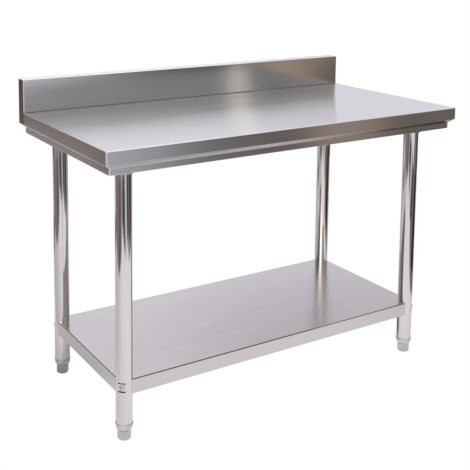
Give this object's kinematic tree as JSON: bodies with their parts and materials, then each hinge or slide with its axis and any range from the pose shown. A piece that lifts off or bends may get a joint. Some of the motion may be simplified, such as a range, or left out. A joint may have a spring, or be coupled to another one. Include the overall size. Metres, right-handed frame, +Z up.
{
  "type": "stainless work table",
  "caption": "Folded stainless worktop with a boxed rear upstand on round tube legs, with a bolted undershelf and hexagonal screw feet for levelling.",
  "frame": {"origin": "on the floor under the centre of the worktop's footprint, feet screwed home", "axes": "+X along the worktop's length to the right as seen from the front, +Y towards the upstand at the rear, +Z up"},
  "size_m": [1.2, 0.6, 0.905],
  "materials": {
    "worktop_steel": "fine linear brushed grain along the length",
    "shelf_steel": "satin 2B sheet with soft reflections",
    "tube_steel": "bright polished tube with faint draw lines",
    "channel_steel": "mill finish folded sheet",
    "socket_metal": "as cast, light blast",
    "screw_steel": "blackened",
    "fastener_steel": "bright rolled stainless",
    "foot_steel": "satin turned stainless",
    "core_board": "raw particle board",
    "pad_nylon": "moulded nylon"
  },
  "bodies": {
    "table": {"worktop_sheet": "worktop_steel", "splashback_end_cap_left": "worktop_steel", "splashback_end_cap_right": "worktop_steel", "worktop_core_board": "core_board", "top_channel_front": "channel_steel", "top_channel_rear": "channel_steel", "top_cross_channel_left": "channel_steel", "top_cross_channel_centre": "channel_steel", "top_cross_channel_right": "channel_steel", "undershelf_sheet": "shelf_steel", "undershelf_channel_front": "channel_steel", "undershelf_channel_rear": "channel_steel", "leg_socket_front_left": "socket_metal", "leg_socket_set_screw_front_left": "screw_steel", "leg_tube_front_left": "tube_steel", "shelf_corner_collar_front_left": "channel_steel", "shelf_bolt_front_left": "fastener_steel", "shelf_bolt_nut_front_left": "fastener_steel", "foot_insert_front_left": "foot_steel", "leg_socket_front_right": "socket_metal", "leg_socket_set_screw_front_right": "screw_steel", "leg_tube_front_right": "tube_steel", "shelf_corner_collar_front_right": "channel_steel", "shelf_bolt_front_right": "fastener_steel", "shelf_bolt_nut_front_right": "fastener_steel", "foot_insert_front_right": "foot_steel", "leg_socket_rear_right": "socket_metal", "leg_socket_set_screw_rear_right": "screw_steel", "leg_tube_rear_right": "tube_steel", "shelf_corner_collar_rear_right": "channel_steel", "shelf_bolt_rear_right": "fastener_steel", "shelf_bolt_nut_rear_right": "fastener_steel", "foot_insert_rear_right": "foot_steel", "leg_socket_rear_left": "socket_metal", "leg_socket_set_screw_rear_left": "screw_steel", "leg_tube_rear_left": "tube_steel", "shelf_corner_collar_rear_left": "channel_steel", "shelf_bolt_rear_left": "fastener_steel", "shelf_bolt_nut_rear_left": "fastener_steel", "foot_insert_rear_left": "foot_steel"},
    "glide_front_left": {"foot_pad_front_left": "pad_nylon"},
    "screw_foot_front_left": {"foot_front_left": "foot_steel", "foot_stem_front_left": "fastener_steel"},
    "glide_front_right": {"foot_pad_front_right": "pad_nylon"},
    "screw_foot_front_right": {"foot_front_right": "foot_steel", "foot_stem_front_right": "fastener_steel"},
    "glide_rear_right": {"foot_pad_rear_right": "pad_nylon"},
    "screw_foot_rear_right": {"foot_rear_right": "foot_steel", "foot_stem_rear_right": "fastener_steel"},
    "glide_rear_left": {"foot_pad_rear_left": "pad_nylon"},
    "screw_foot_rear_left": {"foot_rear_left": "foot_steel", "foot_stem_rear_left": "fastener_steel"}
  },
  "joints": [
    {"name": "foot_travel_front_left", "type": "slide", "parent": "table", "child": "glide_front_left", "axis": [0, 0, -1], "range_m": [0, 0.03]},
    {"name": "foot_turn_front_left", "type": "hinge", "parent": "glide_front_left", "child": "screw_foot_front_left", "pos_m": [-0.507, -0.208, 0], "axis": [0, 0, -1], "range_deg": [0, 6171.6]},
    {"name": "foot_travel_front_right", "type": "slide", "parent": "table", "child": "glide_front_right", "axis": [0, 0, -1], "range_m": [0, 0.03]},
    {"name": "foot_turn_front_right", "type": "hinge", "parent": "glide_front_right", "child": "screw_foot_front_right", "pos_m": [0.507, -0.208, 0], "axis": [0, 0, -1], "range_deg": [0, 6171.6]},
    {"name": "foot_travel_rear_right", "type": "slide", "parent": "table", "child": "glide_rear_right", "axis": [0, 0, -1], "range_m": [0, 0.03]},
    {"name": "foot_turn_rear_right", "type": "hinge", "parent": "glide_rear_right", "child": "screw_foot_rear_right", "pos_m": [0.507, 0.208, 0], "axis": [0, 0, -1], "range_deg": [0, 6171.6]},
    {"name": "foot_travel_rear_left", "type": "slide", "parent": "table", "child": "glide_rear_left", "axis": [0, 0, -1], "range_m": [0, 0.03]},
    {"name": "foot_turn_rear_left", "type": "hinge", "parent": "glide_rear_left", "child": "screw_foot_rear_left", "pos_m": [-0.507, 0.208, 0], "axis": [0, 0, -1], "range_deg": [0, 6171.6]}
  ],
  "couplings": [
    {"joint": "foot_turn_front_left", "follows": "foot_travel_front_left", "rad_per_m": 3590.4},
    {"joint": "foot_turn_front_right", "follows": "foot_travel_front_right", "rad_per_m": 3590.4},
    {"joint": "foot_turn_rear_right", "follows": "foot_travel_rear_right", "rad_per_m": 3590.4},
    {"joint": "foot_turn_rear_left", "follows": "foot_travel_rear_left", "rad_per_m": 3590.4}
  ]
}
